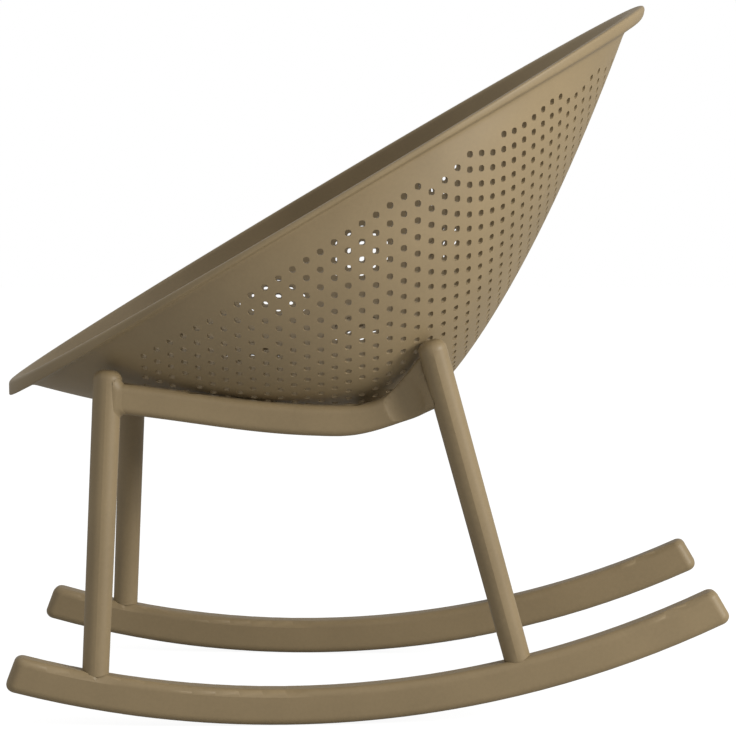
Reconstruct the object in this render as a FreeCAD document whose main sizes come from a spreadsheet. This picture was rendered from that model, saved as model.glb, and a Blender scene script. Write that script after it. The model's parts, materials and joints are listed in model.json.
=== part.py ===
import FreeCAD, Part
import math
import os
from FreeCAD import Placement, Rotation, Vector

# Moulded plastic rocking chair: an elliptical perforated bucket shell on a four-legged
# frame with two bent rockers. Millimetres, +Z up, the sitter faces -Y and the sitter's
# left is +X. The origin is on the floor, under the middle of the chair.

doc = FreeCAD.newDocument("rocking_chair")
sheet = doc.addObject("Spreadsheet::Sheet", "sizes")

SIZES = [
    ("rim_centre_y", -44.5, "middle of the rim, behind the origin"),
    ("rim_centre_height", 621, "height of the middle of the rim"),
    ("rim_slope", 30.7, "degrees that the rim plane rises to the back"),
    ("rim_length", 915, "rim, front tip to back tip"),
    ("rim_width", 712, "rim, side to side"),
    ("lip_thickness", 12, "flat lip round the rim"),
    ("lip_edge_radius", 5, "rounding of the lip's outer edge"),
    ("shell_depth", 283, "bucket, square to the rim plane"),
    ("shell_width", 684, "bucket at the rim, without the lip"),
    ("deepest_point", -20, "deepest point, measured along the rim from its middle"),
    ("front_reach", 438, "deepest point to the front wall at the rim"),
    ("back_reach", 460, "deepest point to the back wall at the rim"),
    ("front_fullness", 1.5, "exponent of the front wall's curve"),
    ("back_fullness", 1.35, "exponent of the back wall's curve"),
    ("side_fullness", 2.2, "exponent of the side wall's curve"),
    ("shell_wall", 5, "thickness of the bucket"),
    ("hole_side", 9, "square perforation, across its flats"),
    ("hole_pitch", 36, "distance between perforations on the surface"),
    ("hole_border", 38, "plain band under the rim, square to the rim plane"),
    ("contact_y", -89, "where the rockers meet the floor"),
    ("rocker_radius", 1240, "underside of the rockers"),
    ("rocker_height", 43, "rocker section, upright"),
    ("rocker_width", 36, "rocker section, across"),
    ("rocker_edge_radius", 9, "rounding of the rocker's long edges"),
    ("rocker_end_radius", 12, "rounding of the rocker's upright end edges"),
    ("rocker_half_track", 242.5, "middle of the chair to a rocker at the contact"),
    ("rocker_toe_in", 3.7, "degrees that each rocker turns in towards the back"),
    ("rocker_front_angle", 15.6, "degrees of arc ahead of the contact"),
    ("rocker_back_angle", 25.4, "degrees of arc behind the contact"),
    ("rocker_end_rake", 5, "degrees that the cut ends lean past the radius"),
    ("tread_width", 14, "rubber strip under each rocker"),
    ("tread_thickness", 3, "rubber strip under each rocker"),
    ("tread_proud", 0.6, "how far the strip stands out of the rocker"),
    ("tread_front_angle", 9, "degrees of strip ahead of the contact"),
    ("tread_back_angle", 11.2, "degrees of strip behind the contact"),
    ("leg_top_radius", 17, "leg at its top"),
    ("leg_foot_radius", 15.8, "leg at its foot"),
    ("leg_dome_radius", 11, "rounding of the leg's top"),
    ("front_foot_y", -314, "foot of the front leg"),
    ("front_top_x", 236, "top of the front leg"),
    ("front_top_y", -298.5, "top of the front leg"),
    ("front_top_height", 421, "top of the front leg"),
    ("rear_foot_y", 185.5, "foot of the rear leg"),
    ("rear_top_x", 261, "top of the rear leg"),
    ("rear_top_y", 80.5, "top of the rear leg"),
    ("rear_top_height", 458, "top of the rear leg"),
    ("spigot_radius", 10, "spigot under each leg"),
    ("spigot_length", 24, "spigot under each leg"),
    ("rail_half_track", 226, "middle of the chair to a side rail under the seat"),
    ("rail_low_height", 360.5, "middle of the side rail at its lowest"),
    ("rail_front_height", 389.5, "middle of the side rail at the front leg"),
    ("rail_rear_height", 418, "middle of the side rail's flare at the rear leg"),
    ("rail_width", 30, "side rail section, across"),
    ("rail_height", 36, "side rail section, upright"),
    ("rail_edge_radius", 9, "rounding of the side rail"),
    ("flare_height", 78, "rail section where it flares up the rear leg"),
    ("flare_width", 16, "rail section where it flares up the rear leg"),
    ("flare_length", 95, "length over which the rail flares"),
    ("tenon_radius", 7, "round tenon at each end of a side rail"),
    ("tenon_reach", 9, "tenon's end past the middle of the leg"),
    ("rear_tenon_height", 392, "rear tenon, above the floor"),
    ("front_bar_y", -125.5, "front cross bar"),
    ("rear_bar_y", 19.5, "rear cross bar"),
    ("bar_width", 44, "cross bars, front to back"),
    ("bar_thickness", 16, "cross bars, upright"),
    ("bar_edge_radius", 5, "rounding of the cross bars"),
    ("bar_tenon_radius", 5, "round tenon at each end of a cross bar"),
    ("bar_tenon_length", 13, "round tenon at each end of a cross bar"),
    ("boss_radius", 9, "locating boss under the shell"),
    ("boss_sink", 10, "depth of a boss in the side rail"),
    ("front_boss_y", -200.5, "front pair of bosses"),
    ("rear_boss_y", -5.5, "rear pair of bosses"),
    ("clearance", 0.3, "gap between pieces that plug together"),
    ("screw_radius", 3, "shell screws, leg bolts"),
    ("screw_head_radius", 5.5, "shell screws, leg bolts"),
    ("screw_head_height", 4, "shell screws, leg bolts"),
    ("washer_radius", 6.5, "washers"),
    ("washer_thickness", 1.2, "washers"),
    ("insert_radius", 4.5, "brass thread inserts"),
    ("insert_length", 7, "brass thread inserts"),
    ("small_screw_radius", 2.2, "cross bar and foot screws"),
    ("small_head_radius", 4.5, "cross bar and foot screws"),
    ("small_head_height", 3, "cross bar and foot screws"),
    ("counterbore_depth", 10, "recess of the shell screws in the rail"),
    ("foot_head_depth", 9, "recess of the foot screws in the rocker"),
    ("plug_thickness", 4, "plastic plugs under the foot screws"),
]

for row, (alias, number, meaning) in enumerate(SIZES, start=1):
    sheet.set("A%d" % row, alias)
    sheet.set("B%d" % row, str(number))
    sheet.set("C%d" % row, meaning)
    sheet.setAlias("B%d" % row, alias)
doc.recompute()


def size(alias):
    """The value of one named cell of the sheet."""
    return float(getattr(sheet, alias))


gap = size("clearance")
UP = Vector(0, 0, 1)
ACROSS = Vector(1, 0, 0)


# Small helpers for bodies and sketches

def origin_plane(body, role):
    for feature in body.Origin.OriginFeatures:
        if feature.Role == role:
            return feature
    raise RuntimeError("no plane " + role)


def new_body(name):
    return doc.addObject("PartDesign::Body", name)


def new_sketch(body, name, role, height=0.0):
    sketch = body.newObject("Sketcher::SketchObject", name)
    sketch.AttachmentSupport = [(origin_plane(body, role), "")]
    sketch.MapMode = "FlatFace"
    sketch.AttachmentOffset = Placement(Vector(0, 0, height), Rotation())
    return sketch


def pad_both_ways(body, name, sketch, length_alias):
    pad = body.newObject("PartDesign::Pad", name)
    pad.Profile = sketch
    pad.SideType = "Symmetric"
    pad.setExpression("Length", "sizes." + length_alias)
    doc.recompute()
    return pad


def round_edges(body, name, base, chosen, radius_alias):
    names = ["Edge%d" % (n + 1) for n, edge in enumerate(base.Shape.Edges) if chosen(edge)]
    fillet = body.newObject("PartDesign::Fillet", name)
    fillet.Base = (base, names)
    fillet.setExpression("Radius", "sizes." + radius_alias)
    doc.recompute()
    return fillet


def plain(name, shape):
    """A feature that holds a ready shape."""
    feature = doc.addObject("Part::Feature", name)
    feature.Shape = shape
    return feature


def cut(name, base, tools):
    result = doc.addObject("Part::Cut", name)
    result.Base = base
    result.Tool = plain(name + "_cutters", Part.makeCompound(tools))
    return result


def fuse(name, features):
    result = doc.addObject("Part::MultiFuse", name)
    result.Shapes = features
    result.Refine = True
    return result


def mirrored(name, source):
    """The right-hand piece of a left-hand one."""
    result = doc.addObject("Part::Mirroring", name)
    result.Source = source
    result.Normal = ACROSS
    return result


def rod(start, direction, length, radius):
    return Part.makeCylinder(radius, length, start, direction)


def ring(start, direction, length, radius, bore):
    return rod(start, direction, length, radius).cut(rod(start, direction, length, bore))


def both_sides(solids):
    """Solids of the left side and their mirror images, as one group."""
    images = [s.mirror(Vector(), ACROSS) for s in solids]
    return Part.makeCompound(solids + images)


# Bucket shell: rings parallel to the rim, each an egg that shrinks with depth

RING_POINTS = 24
RING_DEPTHS = (0, 0.13, 0.28, 0.43, 0.58, 0.71, 0.82, 0.9, 0.955, 0.985)
shell_place = Placement(Vector(0, size("rim_centre_y"), size("rim_centre_height")),
                        Rotation(ACROSS, size("rim_slope")))
slope = math.radians(size("rim_slope"))


def egg(depth, wall=0.0):
    """Front, back and side half-lengths of the ring at a depth, inside a wall."""
    full = size("shell_depth") - wall
    left = 1 - depth / full
    sunk = max(depth, 0) / full
    front_slope = size("front_fullness") * size("shell_depth") / size("front_reach")
    back_slope = size("back_fullness") * size("shell_depth") / size("back_reach")
    front = size("front_reach") - wall / math.sin(math.atan(front_slope))
    back = size("back_reach") - wall / math.sin(math.atan(back_slope))
    half = size("shell_width") / 2 - wall
    fullness = size("side_fullness")
    return (front * left ** (1 / size("front_fullness")),
            back * left ** (1 / size("back_fullness")),
            half * (1 - sunk ** fullness) ** (1 / fullness))


def egg_curve(depth, wall=0.0):
    front, back, half = egg(depth, wall)
    points = []
    for n in range(RING_POINTS):
        turn = 2 * math.pi * n / RING_POINTS
        reach = back if math.cos(turn) > 0 else front
        points.append(Vector(half * math.sin(turn), size("deepest_point") + reach * math.cos(turn), 0))
    curve = Part.BSplineCurve()
    curve.interpolate(Points=points, PeriodicFlag=True,
                      Parameters=[n / RING_POINTS for n in range(RING_POINTS + 1)])
    return curve


def ring_sketches(body, name, wall, depths):
    full = size("shell_depth") - wall
    sketches = []
    for n, share in enumerate(depths):
        sketch = new_sketch(body, "%s_ring_%d" % (name, n), "XY_Plane", -share * full)
        sketch.addGeometry(egg_curve(share * full, wall), False)
        sketches.append(sketch)
    return sketches


def loft(body, kind, name, sketches):
    feature = body.newObject(kind, name)
    feature.Profile = sketches[0]
    feature.Sections = sketches[1:]
    doc.recompute()
    return feature


def outside(x, y, z):
    """Below zero inside the bucket's outer surface, zero on it; world coordinates."""
    along, depth = rim_coordinates(y, z)
    if depth >= size("shell_depth"):
        return 1.0
    front, back, half = egg(max(depth, 0))
    reach = back if along > 0 else front
    return (along / reach) ** 2 + (x / half) ** 2 - 1


def rim_coordinates(y, z):
    """Distance along the rim from the deepest point, and depth under the rim plane."""
    dy = y - size("rim_centre_y")
    dz = z - size("rim_centre_height")
    along = dy * math.cos(slope) + dz * math.sin(slope) - size("deepest_point")
    return along, dy * math.sin(slope) - dz * math.cos(slope)


def underside(x, y):
    """Height of the bucket's outer surface over a point of the floor."""
    low = size("rail_low_height") - size("shell_depth") / 2
    high = low
    while outside(x, y, high) > 0:
        high += 4
    low = high - 4
    for _ in range(20):
        middle = (low + high) / 2
        if outside(x, y, middle) > 0:
            low = middle
        else:
            high = middle
    return high


def surface_point(y, z):
    """Half-width of the bucket at a place in side view, or None outside it."""
    along, depth = rim_coordinates(y, z)
    if not 0 <= depth < size("shell_depth"):
        return None
    front, back, half = egg(depth)
    reach = back if along > 0 else front
    if abs(along) >= reach:
        return None
    return half * math.sqrt(1 - (along / reach) ** 2)


def normal_at(point):
    step = 0.5
    grad = Vector(*[
        outside(*(point + axis * step)) - outside(*(point - axis * step))
        for axis in (ACROSS, Vector(0, 1, 0), UP)])
    return grad.normalize()


def column_points(y, first):
    """Points one pitch apart up the bucket's side, in the upright plane at y."""
    pitch = size("hole_pitch")
    step = 1.5
    z = size("rim_centre_height") - size("shell_depth") * 1.2
    last = None
    travelled = 0.0
    wanted = first
    found = []
    while z < size("rim_centre_height") + size("rim_length") / 2:
        z += step
        x = surface_point(y, z)
        if x is None:
            if last is not None:
                break
            continue
        if last is None:
            last = Vector(0, y, z)
        here = Vector(x, y, z)
        travelled += (here - last).Length
        last = here
        if rim_coordinates(y, z)[1] < size("hole_border"):
            break
        if travelled >= wanted:
            found.append(here)
            wanted += pitch
    return found


def perforations():
    """Square prisms through the wall, in columns that follow the bucket's sides."""
    side = size("hole_side")
    reach = size("shell_wall") * 2
    y = size("rim_centre_y") - size("rim_length") * 0.33
    column = 0
    solids = []
    while True:
        bottom = underside_of_middle(y)
        if bottom is None:
            break
        stagger = 0.5 if column % 2 else 1.0
        for point in column_points(y, stagger * size("hole_pitch")):
            solids.append(prism_at(point, side, reach))
            solids.append(prism_at(Vector(-point.x, point.y, point.z), side, reach))
        if column % 2 == 0:
            solids.append(prism_at(Vector(0, y, bottom), side, reach))
        column += 1
        y += column_step(y)
    return [s for s in solids if clear_of_bosses(s)]


def underside_of_middle(y):
    """Height of the bucket's middle line, or None past the plain band of the back."""
    z = underside(0, y)
    if rim_coordinates(y, z)[1] < size("hole_border") * 1.4:
        return None
    return z


def column_step(y):
    """Upright planes come closer together where the back rises."""
    rise = (underside(0, y + 1) - underside(0, y - 1)) / 2
    return size("hole_pitch") * math.cos(math.radians(30)) / math.sqrt(1 + 0.6 * rise ** 2)


def prism_at(point, side, reach):
    box = Part.makeBox(side, side, 2 * reach, Vector(-side / 2, -side / 2, -reach))
    box.Placement = Placement(point, Rotation(UP, normal_at(point)))
    return box


def clear_of_bosses(solid):
    room = size("boss_radius") + size("hole_side")
    for place in boss_places():
        middle = solid.CenterOfMass
        flat = math.hypot(abs(middle.x) - place.x, middle.y - place.y)
        if flat < room:
            return False
    return True


def shell():
    body = new_body("shell_body")
    body.Placement = shell_place
    outer = ring_sketches(body, "outer", 0, RING_DEPTHS)
    loft(body, "PartDesign::AdditiveLoft", "bucket_outside", outer)
    lip_sketch = new_sketch(body, "lip_sketch", "XY_Plane")
    lip_sketch.addGeometry(Part.Ellipse(
        Vector(0, size("rim_length") / 2, 0), Vector(size("rim_width") / 2, 0, 0), Vector()), False)
    lip = body.newObject("PartDesign::Pad", "lip")
    lip.Profile = lip_sketch
    lip.Reversed = True
    lip.setExpression("Length", "sizes.lip_thickness")
    doc.recompute()
    longest = max(edge.Length for edge in lip.Shape.Edges)
    rounded = round_edges(body, "lip_rounding", lip,
                          lambda edge: edge.Length > 0.99 * longest, "lip_edge_radius")
    for n, place in enumerate(boss_places()):
        add_boss(body, n, place)
    inner_depths = (-0.03,) + RING_DEPTHS[1:]
    inner = ring_sketches(body, "inner", size("shell_wall"), inner_depths)
    loft(body, "PartDesign::SubtractiveLoft", "bucket_inside", inner)
    return body


def add_boss(body, number, place):
    """A pair of upright bosses, from the wall down into the side rails."""
    inverse = shell_place.inverse()
    for mark, x in (("left", place.x), ("right", -place.x)):
        foot = inverse.multVec(Vector(x, place.y, place.z))
        post = body.newObject("PartDesign::AdditiveCylinder", "boss_%s_%d" % (mark, number))
        post.setExpression("Radius", "sizes.boss_radius")
        post.Height = underside(place.x, place.y) + 2 * size("boss_radius") - place.z
        post.Placement = Placement(foot, shell_place.Rotation.inverted())
        doc.recompute()


# Lines that the frame is set out on

def rocker_top(y):
    """Middle of a rocker's top face at a place along the chair."""
    turn = math.radians(size("rocker_toe_in"))
    along = (y - size("contact_y")) / math.cos(turn)
    radius = size("rocker_radius")
    inside = radius - size("rocker_height")
    return Vector(size("rocker_half_track") - along * math.sin(turn), y,
                  size("tread_proud") + radius - math.sqrt(inside ** 2 - along ** 2))


front_foot = rocker_top(size("front_foot_y"))
rear_foot = rocker_top(size("rear_foot_y"))
front_top = Vector(size("front_top_x"), size("front_top_y"), size("front_top_height"))
rear_top = Vector(size("rear_top_x"), size("rear_top_y"), size("rear_top_height"))
LEGS = {"front": (front_foot, front_top), "rear": (rear_foot, rear_top)}


def leg_point(which, height):
    foot, top = LEGS[which]
    share = (height - foot.z) / (top.z - foot.z)
    return foot + (top - foot) * share


def leg_direction(which):
    foot, top = LEGS[which]
    return (top - foot).normalize()


# Side rail: a loft through upright rounded sections, wide under the seat and
# flaring up the rear leg

RAIL_SECTIONS = 14


def rounded_section(middle, facing, width, height, radius):
    """A rounded rectangle that stands upright and faces along the rail."""
    facing = Vector(facing.x, facing.y, 0).normalize()
    side = facing.cross(UP)
    radius = min(radius, width / 2.2)
    a = width / 2
    b = height / 2
    corners = []
    for quarter, (sx, sz) in enumerate(((1, 1), (-1, 1), (-1, -1), (1, -1))):
        start = math.pi / 2 * quarter
        arc = []
        for turn in (0, math.pi / 4, math.pi / 2):
            u = sx * (a - radius) + radius * math.cos(start + turn)
            v = sz * (b - radius) + radius * math.sin(start + turn)
            arc.append(middle + side * u + UP * v)
        corners.append(arc)
    edges = []
    for n in range(4):
        edges.append(Part.Arc(*corners[n]).toShape())
        edges.append(Part.makeLine(corners[n][2], corners[(n + 1) % 4][0]))
    return Part.Wire(edges)


def rail_line():
    """Middle line of the left rail, front leg to rear leg."""
    x = size("rail_half_track")
    low = size("rail_low_height")
    front = leg_point("front", size("rail_front_height"))
    rear = leg_point("rear", size("rail_rear_height"))
    curve = Part.BSplineCurve()
    curve.interpolate([
        front,
        Vector(x + 3, -210.5, low + 17),
        Vector(x, -125.5, low + 5.5),
        Vector(x, -45.5, low),
        Vector(x, 14.5, low + 5.5),
        Vector(x + 6, 46.5, low + 22),
        Vector(rear.x - 11, rear.y - 17, rear.z - 11),
        Vector(rear.x, rear.y - 2, rear.z)])
    return curve


rail_path = rail_line()


def rail_loft():
    """Upright rounded sections at even steps, taller and thinner towards the rear leg."""
    length = rail_path.length()
    wires = []
    for n in range(RAIL_SECTIONS):
        travelled = length * n / (RAIL_SECTIONS - 1)
        place = rail_path.parameterAtDistance(travelled, rail_path.FirstParameter)
        share = max(0, 1 - (length - travelled) / size("flare_length"))
        flare = share * share * (3 - 2 * share)
        width = size("rail_width") + flare * (size("flare_width") - size("rail_width"))
        height = size("rail_height") + flare * (size("flare_height") - size("rail_height"))
        wires.append(rounded_section(rail_path.value(place), rail_path.tangent(place)[0],
                                     width, height, size("rail_edge_radius")))
    return Part.makeLoft(wires, True, False)


def rail_middle(y):
    """Point of the rail's middle line in the upright plane at y."""
    low = rail_path.FirstParameter
    high = rail_path.LastParameter
    for _ in range(30):
        middle = (low + high) / 2
        if rail_path.value(middle).y < y:
            low = middle
        else:
            high = middle
    return rail_path.value(low)


def boss_places():
    """Foot of each left boss, inside its socket in the rail."""
    places = []
    for alias in ("front_boss_y", "rear_boss_y"):
        middle = rail_middle(size(alias))
        top = middle.z + size("rail_height") / 2
        places.append(Vector(middle.x, middle.y, top - size("boss_sink")))
    return places


def tenon_axis(which):
    """Middle of the leg at a rail's tenon, and the direction into the leg."""
    if which == "front":
        centre = leg_point("front", size("rail_front_height"))
        direction = -rail_path.tangent(rail_path.FirstParameter)[0]
    else:
        centre = leg_point("rear", size("rear_tenon_height"))
        direction = rail_path.tangent(rail_path.LastParameter)[0]
    return centre, Vector(direction.x, direction.y, 0).normalize()


def tenon(which, extra):
    centre, direction = tenon_axis(which)
    start = centre - direction * (size("leg_top_radius") + 14)
    length = size("leg_top_radius") + 14 + size("tenon_reach") + extra
    return rod(start, direction, length, size("tenon_radius") + extra)


def leg_envelope(which, extra):
    """The leg with a clearance all round, for what is coped to it."""
    foot, top = LEGS[which]
    length = (top - foot).Length
    return Part.makeCone(size("leg_foot_radius") + extra, size("leg_top_radius") + extra,
                         length + 20, foot, leg_direction(which))


def shell_envelope():
    """The bucket without its inside, a little bigger, for what is coped to it."""
    solid = outer_solid.copy()
    solid.translate(Vector(0, 0, -2 * gap))
    return solid


# Legs: turned profiles with a domed top, coped over the rocker at the foot

def leg_profile(which):
    foot, top = LEGS[which]
    length = (top - foot).Length
    low = -size("rocker_edge_radius") - 4
    r_foot = size("leg_foot_radius")
    r_top = size("leg_top_radius")
    dome = size("leg_dome_radius")
    middle = Vector(r_top - dome * (1 - math.sqrt(0.5)), 0, length - dome * (1 - math.sqrt(0.5)))
    return [
        Part.LineSegment(Vector(0, low, 0), Vector(r_foot, low, 0)),
        Part.LineSegment(Vector(r_foot, low, 0), Vector(r_top, length - dome, 0)),
        Part.Arc(Vector(r_top, length - dome, 0), Vector(middle.x, middle.z, 0),
                 Vector(r_top - dome, length, 0)),
        Part.LineSegment(Vector(r_top - dome, length, 0), Vector(0, length, 0)),
        Part.LineSegment(Vector(0, length, 0), Vector(0, low, 0)),
    ]


def leg(which):
    foot, top = LEGS[which]
    body = new_body(which + "_leg_body")
    body.Placement = Placement(foot, Rotation(UP, leg_direction(which)))
    sketch = new_sketch(body, which + "_leg_sketch", "XZ_Plane")
    for line in leg_profile(which):
        sketch.addGeometry(line, False)
    turned = body.newObject("PartDesign::Revolution", which + "_leg_turned")
    turned.Profile = sketch
    turned.ReferenceAxis = (sketch, ["V_Axis"])
    turned.Angle = 360
    doc.recompute()
    direction = leg_direction(which)
    rocker_blank = rocker_body.Shape.copy()
    rocker_blank.translate(Vector(0, 0, gap))
    coped = cut(which + "_leg_coped", body, [rocker_blank])
    spigot = plain(which + "_leg_spigot", rod(foot - direction * size("spigot_length"), direction,
                                               size("spigot_length") + 20, size("spigot_radius")))
    joined = fuse(which + "_leg_joined", [coped, spigot])
    flat, insert, outwards = bolt_line(which)
    tools = [tenon(which, gap),
             rod(flat - outwards * 20, outwards, 20, size("washer_radius") + 1),
             rod(flat, outwards, (insert - flat).Length, size("screw_radius") + gap),
             rod(insert - outwards * 2, outwards, size("insert_length") + 2, size("insert_radius")),
             rod(foot - direction * (size("spigot_length") + 1), direction,
                 size("spigot_length") - 4, size("small_screw_radius"))]
    if which == "front":
        tools.append(shell_envelope())
    return cut(which + "_leg_left", joined, tools)


def bolt_line(which):
    """The bolt that pins a rail's tenon: its flat on the leg, its insert, its direction."""
    centre, along = tenon_axis(which)
    outwards = UP.cross(along)
    if outwards.x < 0:
        outwards = -outwards
    flat = centre - outwards * (size("leg_top_radius") - 3)
    insert = centre + outwards * (size("tenon_radius") + gap)
    return flat, insert, outwards


# Rockers: an arc-shaped sketch, padded and rounded, with sockets for the legs

def rocker_blank():
    body = new_body("rocker_body")
    body.Placement = Placement(Vector(size("rocker_half_track"), size("contact_y"), size("tread_proud")),
                               Rotation(UP, size("rocker_toe_in")))
    sketch = new_sketch(body, "rocker_sketch", "YZ_Plane")
    radius = size("rocker_radius")
    inner = radius - size("rocker_height")
    centre = Vector(0, radius, 0)
    rake = math.degrees(size("rocker_height") * math.tan(math.radians(size("rocker_end_rake"))) / inner)
    front = -90 - size("rocker_front_angle")
    back = -90 + size("rocker_back_angle")
    ends = [polar(centre, radius, front), polar(centre, radius, back),
            polar(centre, inner, back - rake), polar(centre, inner, front + rake)]
    sketch.addGeometry(Part.Arc(ends[0], polar(centre, radius, (front + back) / 2), ends[1]), False)
    sketch.addGeometry(Part.LineSegment(ends[1], ends[2]), False)
    sketch.addGeometry(Part.Arc(ends[2], polar(centre, inner, (front + back) / 2), ends[3]), False)
    sketch.addGeometry(Part.LineSegment(ends[3], ends[0]), False)
    pad = pad_both_ways(body, "rocker_pad", sketch, "rocker_width")
    ends_rounded = round_edges(body, "rocker_ends", pad, is_upright_end, "rocker_end_radius")
    round_edges(body, "rocker_edges", ends_rounded, is_long_curve, "rocker_edge_radius")
    return body


def polar(centre, radius, degrees):
    turn = math.radians(degrees)
    return centre + Vector(radius * math.cos(turn), radius * math.sin(turn), 0)


def is_upright_end(edge):
    low = edge.BoundBox
    return low.XLength < 0.01 and low.ZLength > size("rocker_height") / 2 and edge.Length < 100


def is_long_curve(edge):
    return edge.Length > size("rocker_radius") * 0.3


def arc_edges(centre, radius, turns):
    """Arcs of one circle, one for each pair of neighbouring angles."""
    edges = []
    for a, b in zip(turns, turns[1:]):
        points = [polar(centre, radius, turn) for turn in (a, (a + b) / 2, b)]
        edges.append(Part.Arc(*points).toShape())
    return edges


def strip_solid(first, last, thickness, width):
    """A strip concentric with a rocker; its lower face has a seam at the contact."""
    lower = size("rocker_radius") + size("tread_proud")
    centre = Vector(0, size("rocker_radius"), 0)
    turns = [-90 - first, -90, -90 + last]
    under = arc_edges(centre, lower, turns)
    over = arc_edges(centre, lower - thickness, turns)
    ends = [Part.makeLine(polar(centre, lower, turn), polar(centre, lower - thickness, turn))
            for turn in (turns[0], turns[-1])]
    face = Part.Face(Part.Wire(Part.__sortEdges__(under + over + ends)))
    solid = face.extrude(Vector(0, 0, width))
    solid.translate(Vector(0, 0, -width / 2))
    upright = Rotation(Vector(0, 1, 0), Vector(0, 0, 1), Vector(1, 0, 0), "ZXY")
    solid.Placement = rocker_body.Placement.multiply(Placement(Vector(), upright)
                                                     ).multiply(solid.Placement)
    return solid


def tread(extra):
    """The rubber strip, or with a clearance the groove that holds it."""
    turn = math.degrees(extra / size("rocker_radius"))
    return strip_solid(size("tread_front_angle") + turn, size("tread_back_angle") + turn,
                       size("tread_thickness") + extra, size("tread_width") + 2 * extra)


def foot_axis_point(which, depth):
    foot, top = LEGS[which]
    return foot - leg_direction(which) * depth


def head_depth():
    return size("rocker_height") - size("foot_head_depth")


def rocker():
    tools = [tread(gap)]
    for which in LEGS:
        direction = leg_direction(which)
        socket = size("spigot_length") + 2 * gap
        tools.append(rod(foot_axis_point(which, socket), direction, socket + 20,
                         size("spigot_radius") + gap))
        tools.append(rod(foot_axis_point(which, size("rocker_height") + 10), direction,
                         size("rocker_height") + 10 - head_depth(), size("small_head_radius") + gap))
        tools.append(rod(foot_axis_point(which, size("rocker_height")), direction,
                         size("rocker_height"), size("small_screw_radius") + gap))
    return cut("rocker_left", rocker_body, tools)


# Side rail with its sockets and holes

def side_rail():
    blank = plain("rail_blank", rail_loft())
    trimmed = cut("rail_trimmed", blank, [leg_envelope("front", gap), leg_envelope("rear", gap),
                                          shell_envelope()])
    tenons = [plain(which + "_rail_tenon", tenon(which, 0)) for which in LEGS]
    joined = fuse("rail_joined", [trimmed] + tenons)
    tools = []
    for place in boss_places():
        bottom = place.z + size("boss_sink") - size("rail_height")
        tools.append(rod(place - UP * gap, UP, 60, size("boss_radius") + gap))
        tools.append(rod(Vector(place.x, place.y, bottom - 20), UP, 20 + size("counterbore_depth"),
                         size("washer_radius") + 2 * gap))
        tools.append(rod(Vector(place.x, place.y, bottom), UP, size("rail_height"),
                         size("screw_radius") + gap))
    for which in LEGS:
        flat, insert, outwards = bolt_line(which)
        tools.append(rod(flat, outwards, (insert - flat).Length, size("screw_radius") + gap))
    for place in bar_ends():
        tools.append(rod(place, ACROSS, size("bar_tenon_length") + 2 * gap, size("bar_tenon_radius") + gap))
        axis = bar_screw_axis(place)
        low = axis - UP * 60
        tools.append(rod(low, UP, 60, size("small_screw_radius") + gap))
        tools.append(rod(low, UP, 60 - size("bar_tenon_radius") - 5, size("small_head_radius") + gap))
    return cut("side_rail_left", joined, tools)


# Cross bars: arc bands that hug the bucket's belly between the rails

def bar_ends():
    """Where each cross bar's middle line meets the left rail's inner face."""
    places = []
    for alias in ("front_bar_y", "rear_bar_y"):
        middle = rail_middle(size(alias))
        places.append(Vector(middle.x - size("rail_width") / 2 - gap, middle.y, middle.z))
    return places


def bar_screw_axis(place):
    return place + ACROSS * (size("bar_tenon_length") / 2 + 1)


def cross_bar(name, place):
    body = new_body(name + "_body")
    body.Placement = Placement(Vector(0, place.y, 0), Rotation())
    half = size("bar_thickness") / 2
    belly = underside(0, place.y) - 2 * gap - half
    sketch = new_sketch(body, name + "_sketch", "XZ_Plane")
    reach = place.x + size("bar_edge_radius")
    for z, mark in ((half, 1), (-half, -1)):
        sketch.addGeometry(Part.Arc(Vector(-reach * mark, place.z + z, 0), Vector(0, belly + z, 0),
                                    Vector(reach * mark, place.z + z, 0)), False)
    for x, mark in ((reach, 1), (-reach, -1)):
        sketch.addGeometry(Part.LineSegment(Vector(x, place.z + half * mark, 0),
                                            Vector(x, place.z - half * mark, 0)), False)
    pad = pad_both_ways(body, name + "_pad", sketch, "bar_width")
    rounded = round_edges(body, name + "_rounding", pad,
                          lambda edge: edge.Length > reach, "bar_edge_radius")
    rail = rail_loft()
    rail.translate(-ACROSS * 2 * gap)
    coped = cut(name + "_coped", body, [rail, rail.mirror(Vector(), ACROSS)])
    tenons = []
    for mark, x in (("left", place.x - 10), ("right", -place.x - size("bar_tenon_length"))):
        start = Vector(x, place.y, place.z)
        tenons.append(plain("%s_tenon_%s" % (name, mark),
                            rod(start, ACROSS, size("bar_tenon_length") + 10,
                                size("bar_tenon_radius"))))
    joined = fuse(name + "_joined", [coped] + tenons)
    axis = bar_screw_axis(place)
    holes = [rod(Vector(x, axis.y, axis.z - 20), UP, 20 + size("bar_tenon_radius") - 1,
                 size("small_screw_radius")) for x in (axis.x, -axis.x)]
    return cut(name, joined, holes + [shell_envelope()])


# Fasteners

def screw(tip, direction, length, radius, head_radius, head_height):
    """A screw that points along its direction and ends at its tip."""
    neck = tip - direction * length
    shank = rod(neck, direction, length, radius)
    head = rod(neck - direction * head_height, direction, head_height, head_radius)
    head = head.makeFillet(head_height * 0.4, [head.Edges[2]])
    return shank.fuse(head).removeSplitter()


def shell_fasteners():
    screws = []
    washers = []
    inserts = []
    for place in boss_places():
        bottom = place.z + size("boss_sink") - size("rail_height")
        seat = Vector(place.x, place.y, bottom + size("counterbore_depth"))
        washers.append(ring(seat - UP * size("washer_thickness"), UP, size("washer_thickness"),
                            size("washer_radius"), size("screw_radius") + gap))
        tip = place + UP * (size("insert_length") - 1)
        length = tip.z - seat.z + size("washer_thickness")
        screws.append(screw(tip, UP, length, size("screw_radius"), size("screw_head_radius"),
                            size("screw_head_height")))
        inserts.append(ring(place, UP, size("insert_length"), size("insert_radius"),
                            size("screw_radius")))
    return screws, washers, inserts


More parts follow.
